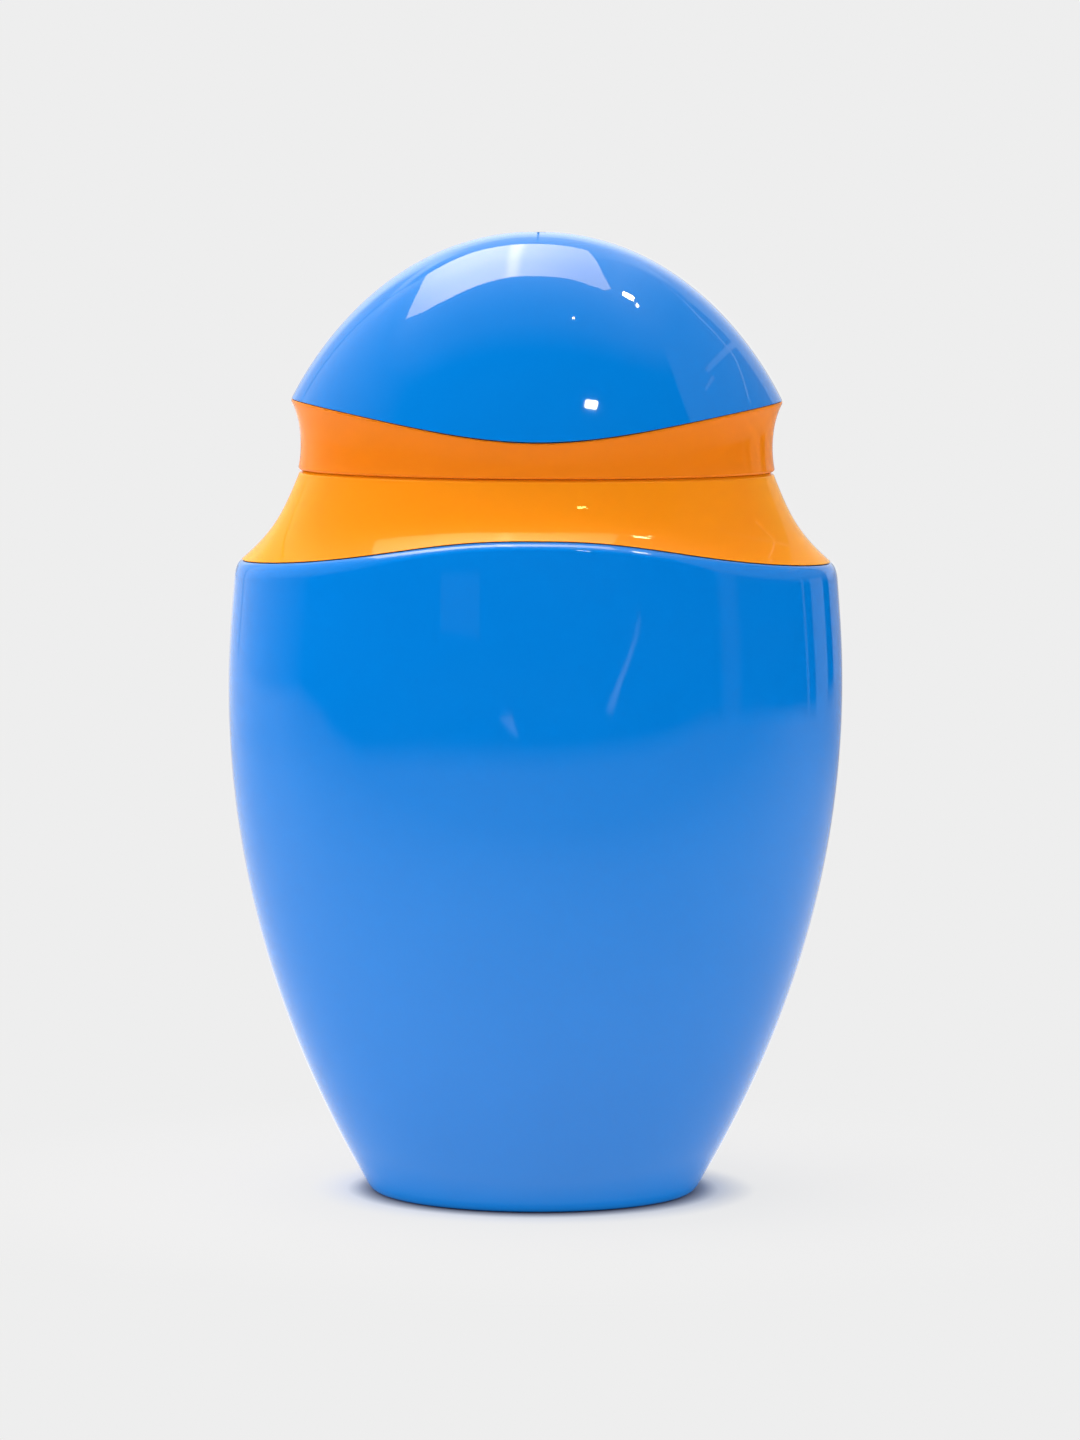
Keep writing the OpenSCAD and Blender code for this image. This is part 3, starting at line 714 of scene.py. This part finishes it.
class Nodes:
    """Short way to write a node tree."""

    def __init__(self, tree):
        self.tree = tree
        tree.nodes.clear()

    def add(self, kind, inputs=None, **settings):
        """A node. kind is its type without ShaderNode in front."""
        node = self.tree.nodes.new("ShaderNode" + kind)
        for name, value in settings.items():
            setattr(node, name, value)
        for name, value in (inputs or {}).items():
            if isinstance(value, bpy.types.NodeSocket):
                self.tree.links.new(value, node.inputs[name])
            else:
                node.inputs[name].default_value = value
        return node

    def math(self, operation, first, second=0.0, third=0.0):
        return self.add("Math", {0: first, 1: second, 2: third}, operation=operation).outputs[0]

    def times(self, first, *others):
        """Product of two or more values."""
        for other in others:
            first = self.math("MULTIPLY", first, other)
        return first

    def place(self):
        """The point on the object."""
        return self.add("TexCoord").outputs["Object"]

    def apart(self, vector):
        """X, Y and Z of a vector."""
        return self.add("SeparateXYZ", {"Vector": vector}).outputs

    def length(self, vector):
        return self.add("VectorMath", {0: vector}, operation="LENGTH").outputs["Value"]

    def noise(self, where, scale, detail=2.0, roughness=0.5):
        inputs = {"Vector": where, "Scale": scale, "Detail": detail, "Roughness": roughness}
        return self.add("TexNoise", inputs).outputs["Fac"]

    def between(self, value, low, high, to_low=0.0, to_high=1.0, **settings):
        """A value between two limits, turned into one between two others."""
        inputs = {"Value": value, "From Min": low, "From Max": high, "To Min": to_low, "To Max": to_high}
        return self.add("MapRange", inputs, **settings).outputs["Result"]

    def stretched(self, where, scale):
        return self.add("Mapping", {"Vector": where, "Scale": scale}).outputs["Vector"]

    def blend(self, share, first, second):
        """A mix of two colours."""
        return self.add("Mix", {0: share, 6: first, 7: second}, data_type="RGBA").outputs[2]

    def bump(self, height, distance, normal=None):
        inputs = {"Height": height, "Distance": distance, "Strength": 1.0}
        if normal is not None:
            inputs["Normal"] = normal
        return self.add("Bump", inputs).outputs["Normal"]

    def surface(self, shader, kind="OutputMaterial"):
        """Ends the tree with a shader's output."""
        self.add(kind, {"Surface": shader.outputs[0]})


def new_material(name):
    """A material and its empty node tree."""
    material = bpy.data.materials.new(name)
    material.use_nodes = True
    return material, Nodes(material.node_tree)


def moulded_plastic(name, colour, shade, gloss, waviness=1.0, scatter=0.0, scatter_radius=WHITE,
                    ior=(1.5, 1.5), sheen_tint=WHITE, edge=None):
    """Moulded plastic: pigment that varies a little, a polished skin with faint waves, scuffs and dust.

    gloss is the lowest and the highest roughness. waviness scales the slow waves of the skin. ior is the
    index head on and at a grazing angle, where the pigment turns to the edge colour, if there is one: a
    lighter, yellower colour painted on as sheen at the rims.
    """
    material, nodes = new_material(name)
    where = nodes.place()
    cloud = nodes.noise(where, CLOUD_SCALE, 3.0)
    grain = nodes.noise(where, GRAIN_SCALE)
    pigment = nodes.blend(nodes.between(cloud, 0.3, 0.7), (*colour, 1), (*shade, 1))
    pigment = nodes.blend(nodes.between(grain, 0.25, 0.95, 0.0, GRAIN_SHARE), pigment, (*shade, 1))
    smear = nodes.noise(nodes.stretched(where, SMEAR_SCALE), 1.0, 5.0, 0.6)
    waves = nodes.bump(nodes.noise(where, WAVE_SCALE, 1.0), WAVE_HEIGHT * waviness)
    peel = nodes.bump(nodes.noise(where, PEEL_SCALE, 1.0), PEEL_HEIGHT, waves)
    facing = nodes.add("LayerWeight").outputs["Facing"]
    # Painted rim sheen: at grazing angles the pigment turns to the lighter, yellower edge colour
    if edge is not None:
        pigment = nodes.blend(nodes.between(facing, *RIM_SHEEN_FACING), pigment, (*edge, 1))
    shader = nodes.add("BsdfPrincipled", {
        "Base Color": pigment,
        "Roughness": nodes.between(smear, 0.35, 0.75, *gloss),
        "IOR": nodes.between(facing, *INDEX_FACING, *ior),
        "Specular Tint": (*sheen_tint, 1),
        "Normal": peel,
        "Subsurface Weight": scatter,
        "Subsurface Radius": scatter_radius,
        "Subsurface Scale": MM,
    })
    nodes.surface(shader)
    return material


def foam(name, colour, shade):
    """Closed-cell foam: small pits, painted darker towards their middle as shade, and a matt skin."""
    material, nodes = new_material(name)
    texture = nodes.add("TexVoronoi", {"Vector": nodes.place(), "Scale": CELL_SCALE})
    cells = texture.outputs["Distance"]
    shader = nodes.add("BsdfPrincipled", {
        # Painted shade: the colour darkens towards the middle of each pit
        "Base Color": nodes.blend(nodes.between(cells, 0.0, 0.7), (*shade, 1), (*colour, 1)),
        "Roughness": nodes.between(cells, 0.0, 0.6, 0.85, 0.6),
        "Normal": nodes.bump(cells, CELL_DEPTH),
    })
    nodes.surface(shader)
    return material


def glowing(name, colour, level):
    """A material that only glows. level is a number or, from a function of its nodes, a pattern."""
    material, nodes = new_material(name)
    strength = level(nodes) if callable(level) else level
    nodes.surface(nodes.add("Emission", {"Color": (*colour, 1), "Strength": strength}))
    return material


def paint(piece, material):
    piece.data.materials.clear()
    piece.data.materials.append(material)


# ---- Studio ----
# A fade is (from, to, value at from, value at to), and without its last two numbers it goes from 0 to 1.

CAMERA_PLACE = (0.00048, -0.400, 0.0995)
CAMERA_TARGET = (0.00048, 0.0, 0.04969)
CAMERA_ROLL = 0.28
CAMERA_ANGLE = 21.0055
SENSOR = 36.0

PALE = 0.855
WORLD_FILL = 0.26
WORLD_TINT = (0.95, 0.97, 1.0)

# The sheet's fades go with the distance from the middle, stretched so that the object's base is round
FLOOR_REACH = 3.0
FLOOR_COLOUR = (0.84, 0.84, 0.84)
# Reach and colour of a painted contact shadow: the sheet's diffuse colour turns dark navy right round the
# foot
FLOOR_PAINTED_SHADOW = (0.0158, 0.0196)
PAINTED_SHADOW_COLOUR = (0.02, 0.035, 0.10)
FLOOR_BOUNCE = (0.0160, 0.0185)
FLOOR_BOUNCE_END = (0.028, 0.045, 1.0, 0.0)
FLOOR_NEAR = (0.0180, 0.0235, 0.0, 0.88)
FLOOR_FAR = (0.024, 0.07, 0.0, 0.12)

# The table in reflections: its outline, the scales of it that its edge is soft between, and its fades.
# TABLE_BACK ends at the value of TABLE_BACK_LEFT
TABLE = [
    (-0.55, 0.6), (-0.54, -0.17), (-0.4, -0.206), (-0.285, -0.187), (-0.205, -0.188), (-0.142, -0.262),
    (-0.04, -0.283), (0.15, -0.292), (0.29, -0.287), (0.4, -0.17), (0.44, 0.0), (0.4, 0.6),
]
TABLE_SOFT = (0.84, 1.11)
TABLE_GLOW = (-0.16, -0.03, 0.70, 1.42)
TABLE_BACK = (0.02, 0.20, 1.0)
TABLE_BACK_LEFT = (-0.24, -0.05, 1.25, 0.68)
TABLE_FAR = (0.12, 0.32, 1.0, 0.65)
TABLE_RIGHT = (-0.03, 0.06, 1.0, 0.84)
SURROUND_HEIGHT, SURROUND_SCALE = 0.0006, 6.0

# Glow, then (from, to, soft start, soft end) in degrees, round the object from 0 in front and + to the right,
# and up from the floor
ROOM = [
    (0.55, (131, 179.95, 1, 0.1), (-5, 7, 1, 4)),
    (0.95, (131, 179.95, 1, 0.1), (3, 45, 4, 2)),
    (1.10, (145, 179.95, 25, 0.1), (10, 45, 20, 2)),
    (0.60, (-179.95, -150, 0.1, 12), (-5, 7, 1, 4)),
    (0.95, (-179.95, -150, 0.1, 12), (3, 45, 4, 2)),
    (1.10, (-179.95, -145, 0.1, 8), (10, 45, 20, 2)),
    (1.10, (-162, -131, 12, 1), (-5, 50, 1, 2)),
    (1.50, (128, 179.95, 17, 0.1), (43, 80, 2, 3)),
    (1.50, (-179.95, -115, 0.1, 40), (43, 80, 2, 3)),
    (1.25, (-131, -70, 1, 60), (-5, 16, 1, 12)),
    (1.35, (-131, -46, 1, 78), (4, 64, 12, 8)),
    (0.14, (50, 60, 3, 3), (-5, 12, 1, 4)),
    (0.35, (96.2, 98.8, 0.6, 0.6), (-5, 12, 1, 4)),
    (0.50, (104.5, 121.5, 1.5, 1.5), (-5, 12, 1, 4)),
]
ROOM_RADIUS, ROOM_AROUND, ROOM_UP = 1.2, 48, 12

# The wall on the right, in degrees as above. WALL_SLOPE is its height over its distance, and it ends at the
# front in the plane where Y + WALL_EDGE_X * X + WALL_EDGE_Z * Z is 0
WALL_GLOW, WALL_SLOPE, WALL_TOP_SOFT = 0.42, 1.76, 1.5
WALL_TURN = (52, 132, 1.5, 1.5)
WALL_FOOT = (4, 17)
WALL_EDGE_X, WALL_EDGE_Z, WALL_EDGE_SOFT = 1.12, -0.349, 0.03

# The lamp's light on the ceiling, which falls with the distance from an oblong round the lamp
CEILING_GLOW, CEILING_SPREAD, CEILING_HEIGHT = 1.3, 0.2, 0.6
CEILING_MIDDLE, CEILING_HALF = (-0.075, 0.10), (0.305, 0.19)
CEILING_END = (0.27, 0.42, 1.0, 0.0)

LAMP_HEIGHT = 0.6
SOFTBOX_CORNERS = [
    (-0.402, -0.045), (-0.335, -0.09), (-0.238, -0.101), (-0.06, -0.077), (0.075, -0.082), (0.13, -0.097),
    (0.172, -0.1), (0.19, -0.076), (0.161, 0.023), (0.126, 0.225), (0.114, 0.284), (0.000, 0.302),
    (-0.16, 0.318), (-0.298, 0.282), (-0.33, 0.13), (-0.364, 0.035),
]
SOFTBOX_GLOW, HUMP_X, HUMP_GLOW, HUMP_REACH = 3.7, -0.14, 2.5, 0.32
SOFTBOX_BACK = (0.12, 0.32, 1.0, 0.75)
SOFTBOX_LIGHT, SOFTBOX_SHEEN = 1.16, 1.72
SOFTBOX_TINT = (1.0, 0.87, 0.78)
TUBE_X, TUBE_GLOW, TUBE_REACH, TUBE_SLANT = -0.056, 2.6, 0.028, 0.05

# Middle, half sizes and glow
SMALL_LAMPS = [
    ((0.247, -0.067, 0.6), (0.019, 0.018), 75.0),
    ((0.281, -0.098, 0.6), (0.005, 0.013), 45.0),
    ((0.096, -0.301, 0.6), (0.003, 0.003), 90.0),
    ((0.186, -0.650, 0.54), (0.022, 0.022), 75.0),
]

# Glow and corners of faint things of the room that show in the gloss
ROOM_DETAILS = [
    (0.12, [
        (-0.397, -0.886, 0.0444), (-0.232, -0.942, 0.0408),
        (-0.229, -0.941, 0.0026), (-0.39, -0.887, 0.0053),
    ]),
    (1.00, [
        (0.422, -0.874, 0.026), (0.43, -0.87, 0.026), (0.246, -0.57, 0.0084),
        (0.134, -0.395, 0.003), (0.121, -0.399, 0.003), (0.233, -0.571, 0.0084),
    ]),
    (0.9, [(-0.062, -0.404, 0.001), (-0.04, -0.419, 0.001), (-0.022, -0.33, 0.001)]),
    (2.6, [(x, y, LAMP_HEIGHT) for x, y in (
        (0.33, 0.331), (0.512, 0.304), (0.735, 0.402), (0.97, 0.206), (1.039, 0.214),
        (1.039, 0.202), (0.96, 0.194), (0.735, 0.388), (0.512, 0.292), (0.322, 0.331),
    )]),
    (1.05, [(x, y, LAMP_HEIGHT) for x, y in (
        (0.745, 0.8), (0.68, 0.105), (0.655, -0.118), (0.702, -0.1), (0.7, -0.261),
        (0.684, -0.261), (0.68, -0.112), (0.627, -0.132), (0.65, 0.105), (0.715, 0.8),
    )]),
]

# Name, place and power of the suns that fill the shade, and their width in degrees
FILLS = [
    ("fill_left", (-0.8, -0.2, 0.5), 1.85),
    ("fill_front", (0.0, -0.95, 0.30), 0.70),
    ("fill_right", (0.85, -0.3, 0.38), 0.98),
]
FILL_ANGLE = 60


def aim(thing, target):
    direction = Vector(target) - thing.location
    thing.rotation_mode = "QUATERNION"
    thing.rotation_quaternion = direction.to_track_quat("-Z", "Y")


def add_camera():
    data = bpy.data.cameras.new("camera")
    data.sensor_width = SENSOR
    data.lens = SENSOR / 2 / math.tan(math.radians(CAMERA_ANGLE / 2))
    data.clip_start = 0.01
    data.clip_end = 20.0
    camera = bpy.data.objects.new("camera", data)
    bpy.context.scene.collection.objects.link(camera)
    camera.location = CAMERA_PLACE
    aim(camera, CAMERA_TARGET)
    camera.rotation_quaternion = camera.rotation_quaternion @ Quaternion((0, 0, 1), math.radians(CAMERA_ROLL))
    bpy.context.scene.camera = camera


def add_stage_mesh(name, points, faces, material):
    mesh = bpy.data.meshes.new(name)
    mesh.from_pydata(points, [], faces)
    mesh.update()
    thing = bpy.data.objects.new(name, mesh)
    bpy.context.scene.collection.objects.link(thing)
    paint(thing, material)
    return thing


def add_card(name, points, material):
    """A flat stage piece with one face."""
    return add_stage_mesh(name, points, [loop(0, len(points))], material)


def only_in_gloss(thing):
    """Shown in glossy reflections alone, as a thing of the room that lights nothing and isn't in view."""
    for kind in ("camera", "diffuse", "shadow", "transmission", "volume_scatter"):
        setattr(thing, "visible_" + kind, False)


def table_pattern(nodes):
    """Glow of the table in reflections: bright round the object, less at its front edge and far behind."""
    where = nodes.place()
    apart = nodes.apart(where)
    return nodes.times(
        nodes.between(apart["Y"], *TABLE_GLOW),
        nodes.between(apart["Y"], *TABLE_BACK, nodes.between(apart["X"], *TABLE_BACK_LEFT)),
        nodes.between(nodes.length(where), *TABLE_FAR),
        nodes.between(apart["X"], *TABLE_RIGHT),
    )


def floor_material():
    """Pale sheet: light and shade close to the object, a painted contact shadow right round the foot, and an
    even tone further out.

    Right round the foot it also gives the object an even bounce, which only diffuse rays see.
    """
    material, nodes = new_material("pale_sheet")
    where = nodes.place()
    tooth = nodes.noise(where, 500.0, 3.0)
    distance = nodes.length(nodes.stretched(where, (1.0, BASE_WIDTH / BASE_DEPTH, 1.0)))
    # Painted contact shadow: the diffuse colour is dark navy right round the foot
    painted_shadow = nodes.between(distance, *FLOOR_PAINTED_SHADOW)
    diffuse = nodes.add("BsdfDiffuse", {
        "Color": nodes.blend(painted_shadow, (*PAINTED_SHADOW_COLOUR, 1), (*FLOOR_COLOUR, 1)),
        "Roughness": 0.6,
        "Normal": nodes.bump(tooth, 0.00002),
    })
    rays = nodes.add("LightPath").outputs
    glossy = rays["Is Glossy Ray"]
    level = nodes.math("MULTIPLY_ADD", nodes.math("SUBTRACT", table_pattern(nodes), PALE), glossy, PALE)
    glow = nodes.add("Emission", {"Color": (*WHITE, 1), "Strength": level})
    fade = nodes.math("ADD", nodes.between(distance, *FLOOR_NEAR), nodes.between(distance, *FLOOR_FAR))
    fade = nodes.times(fade, nodes.math("MAXIMUM", rays["Is Camera Ray"], glossy))
    bounce = nodes.times(nodes.between(distance, *FLOOR_BOUNCE), nodes.between(distance, *FLOOR_BOUNCE_END))
    share = nodes.math("MAXIMUM", fade, nodes.times(bounce, rays["Is Diffuse Ray"]))
    nodes.surface(nodes.add("MixShader", {0: share, 1: diffuse.outputs[0], 2: glow.outputs[0]}))
    return material


def add_floor():
    corners = [(FLOOR_REACH * i, FLOOR_REACH * j, 0) for i, j in SQUARE]
    add_card("studio_floor", corners, floor_material())


def band(nodes, value, low, high, soft_low, soft_high):
    """1 between two angles in degrees and 0 outside, with soft edges inside them."""
    up = nodes.between(value, math.radians(low), math.radians(low + soft_low))
    down = nodes.between(value, math.radians(high - soft_high), math.radians(high), 1.0, 0.0)
    return nodes.times(up, down)


def wall_pattern(nodes, apart, turn, rise):
    """A wall on the right with a level top, which ends at the front in a plane."""
    top = nodes.math("ARCTANGENT", nodes.times(nodes.math("SINE", turn), WALL_SLOPE))
    under = nodes.between(nodes.math("SUBTRACT", top, rise), 0.0, math.radians(WALL_TOP_SOFT))
    above = nodes.between(rise, *(math.radians(angle) for angle in WALL_FOOT))
    behind = nodes.math("MULTIPLY_ADD", apart["X"], WALL_EDGE_X, apart["Y"])
    behind = nodes.math("MULTIPLY_ADD", apart["Z"], WALL_EDGE_Z, behind)
    behind = nodes.between(behind, 0.0, WALL_EDGE_SOFT)
    return nodes.times(under, above, band(nodes, turn, *WALL_TURN), behind, WALL_GLOW)


def ceiling_pattern(nodes, apart):
    """Light that the lamp throws on the ceiling round itself, less with the distance from it."""
    outside = []
    for axis, middle, half in zip("XY", CEILING_MIDDLE, CEILING_HALF):
        height = nodes.math("MAXIMUM", apart["Z"], 0.01)
        place = nodes.math("DIVIDE", nodes.times(apart[axis], CEILING_HEIGHT), height)
        away = nodes.math("SUBTRACT", nodes.math("ABSOLUTE", nodes.math("SUBTRACT", place, middle)), half)
        outside.append(nodes.math("POWER", nodes.math("MAXIMUM", away, 0.0), 2.0))
    distance = nodes.math("SQRT", nodes.math("ADD", *outside))
    fall = nodes.math("POWER", math.e, nodes.math("DIVIDE", distance, -CEILING_SPREAD))
    return nodes.times(fall, nodes.between(distance, *CEILING_END), CEILING_GLOW)


def room_pattern(nodes):
    """Glow of the room: white paper behind, walls on the right and on the left, and the lit ceiling."""
    where = nodes.place()
    apart = nodes.apart(where)
    turn = nodes.math("ARCTAN2", apart["X"], nodes.times(apart["Y"], -1.0))
    rise = nodes.math("ARCTAN2", apart["Z"], nodes.length(nodes.stretched(where, (1.0, 1.0, 0.0))))
    total = wall_pattern(nodes, apart, turn, rise)
    for level, turn_band, rise_band in ROOM:
        share = nodes.times(band(nodes, turn, *turn_band), band(nodes, rise, *rise_band))
        total = nodes.math("MULTIPLY_ADD", share, level, total)
    return nodes.math("MAXIMUM", total, ceiling_pattern(nodes, apart))


def surround_pattern(nodes):
    """The table's own glow at its edge, which fades into the room's."""
    away = nodes.add("Attribute", attribute_name="away").outputs["Fac"]
    near = nodes.times(table_pattern(nodes), nodes.math("SUBTRACT", 1.0, away))
    return nodes.math("MULTIPLY_ADD", room_pattern(nodes), away, near)


def add_room():
    """A half ball round the object that carries the room's glow."""
    points = []
    for rise in np.linspace(0, math.pi / 2 - 0.01, ROOM_UP + 1):
        reach, height = ROOM_RADIUS * math.cos(rise), ROOM_RADIUS * math.sin(rise)
        turns = np.linspace(0, TURN, ROOM_AROUND, endpoint=False)
        points += [(reach * math.cos(turn), reach * math.sin(turn), height) for turn in turns]
    faces = []
    for step in range(ROOM_UP):
        faces += band_faces(step * ROOM_AROUND, (step + 1) * ROOM_AROUND, ROOM_AROUND)
    faces.append(loop(ROOM_UP * ROOM_AROUND, ROOM_AROUND))
    only_in_gloss(add_stage_mesh("studio_room", points, faces, glowing("room", WHITE, room_pattern)))


def add_surround():
    """The room's glow on the floor round the table, as a frame along the table's outline."""
    scales = (*TABLE_SOFT, SURROUND_SCALE)
    count = len(TABLE)
    points = [(x * scale, y * scale, SURROUND_HEIGHT) for scale in scales for x, y in TABLE]
    faces = [
        (j * count + i, j * count + i + 1, (j + 1) * count + i + 1, (j + 1) * count + i)
        for j in range(len(scales) - 1)
        for i in range(count - 1)
    ]
    surround = add_stage_mesh("studio_surround", points, faces, glowing("surround", WHITE, surround_pattern))
    away = surround.data.attributes.new("away", "FLOAT", "POINT")
    away.data.foreach_set("value", [0.0] * count + [1.0] * (2 * count))
    only_in_gloss(surround)


def add_room_details():
    """Faint things of the room that show in the gloss."""
    for number, (glow, points) in enumerate(ROOM_DETAILS):
        material = glowing(f"room_detail_{number}", WHITE, glow)
        only_in_gloss(add_card(f"studio_detail_{number}", points, material))


def softbox_pattern(nodes):
    """Glow that is highest in the middle, with a brighter strip where the lamp's tube is."""
    apart = nodes.apart(nodes.place())

    def hump(across, centre, reach, level):
        off = nodes.math("ABSOLUTE", nodes.math("SUBTRACT", across, centre))
        return nodes.between(off, 0.0, reach, level, 0.0, interpolation_type="SMOOTHERSTEP")

    wide = hump(apart["X"], HUMP_X, HUMP_REACH, HUMP_GLOW)
    slanted = nodes.math("MULTIPLY_ADD", apart["Y"], -TUBE_SLANT, apart["X"])
    tube = hump(slanted, TUBE_X, TUBE_REACH, TUBE_GLOW)
    glow = nodes.math("ADD", nodes.math("ADD", wide, SOFTBOX_GLOW), tube)
    glossy = nodes.add("LightPath").outputs["Is Glossy Ray"]
    sheen = nodes.between(glossy, 0.0, 1.0, SOFTBOX_LIGHT, SOFTBOX_SHEEN)
    return nodes.times(glow, nodes.between(apart["Y"], *SOFTBOX_BACK), sheen)


def add_softbox():
    points = [(x, y, LAMP_HEIGHT) for x, y in SOFTBOX_CORNERS]
    softbox = add_card("studio_softbox", points, glowing("softbox", SOFTBOX_TINT, softbox_pattern))
    softbox.visible_camera = False


def add_small_lamps():
    for number, ((x, y, z), (half_x, half_y), glow) in enumerate(SMALL_LAMPS):
        points = [(x + half_x * i, y + half_y * j, z) for i, j in SQUARE]
        only_in_gloss(add_card(f"studio_lamp_{number}", points, glowing(f"lamp_{number}", WHITE, glow)))


def add_sun(name, place, power):
    """Even soft light from one side, which shows in no reflection."""
    data = bpy.data.lights.new(name, "SUN")
    data.energy = power
    data.angle = math.radians(FILL_ANGLE)
    lamp = bpy.data.objects.new(name, data)
    bpy.context.scene.collection.objects.link(lamp)
    lamp.location = place
    aim(lamp, (0, 0, 0))
    lamp.visible_glossy = False


def set_world():
    """A pale backdrop for what is seen, straight or in gloss or glass, and a dimmer fill for the rest."""
    world = bpy.data.worlds.new("studio_world")
    bpy.context.scene.world = world
    world.use_nodes = True
    nodes = Nodes(world.node_tree)
    rays = nodes.add("LightPath").outputs
    seen = nodes.math("MAXIMUM", rays["Is Camera Ray"], rays["Is Transmission Ray"])
    seen = nodes.math("MAXIMUM", seen, rays["Is Glossy Ray"])
    fill = nodes.add("Background", {"Color": (*WORLD_TINT, 1), "Strength": WORLD_FILL})
    backdrop = nodes.add("Background", {"Color": (PALE, PALE, PALE, 1), "Strength": 1.0})
    mix = nodes.add("MixShader", {0: seen, 1: fill.outputs[0], 2: backdrop.outputs[0]})
    nodes.surface(mix, "OutputWorld")


def add_studio():
    add_camera()
    add_floor()
    add_room()
    add_surround()
    add_room_details()
    set_world()
    add_softbox()
    add_small_lamps()
    for name, place, power in FILLS:
        add_sun(name, place, power)


def main():
    bpy.context.scene.view_settings.view_transform = "Standard"
    plastics = {name: moulded_plastic(name, **looks) for name, looks in PLASTICS.items()}
    white_foam = foam("liner_foam", FOAM_COLOUR, FOAM_PAINTED_PIT_SHADE)

    neck_thread, cap_thread = make_threads()
    for piece in (make_bottle(), neck_thread, make_pinch_line()):
        paint(piece, plastics["blue_gloss"])
    for piece in (make_dome(), make_dome_ribs()):
        paint(piece, plastics["blue_gloss_dome"])
    paint(make_collar(), plastics["orange_gloss"])
    # The skirt takes the darker orange, which paints in its shade
    paint(make_skirt(), plastics["orange_gloss_skirt_painted_shade"])
    for piece in (make_nozzle(), cap_thread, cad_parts["inner_cap"]):
        paint(piece, plastics["natural_plastic"])
    paint(make_liner(), white_foam)

    add_studio()


main()
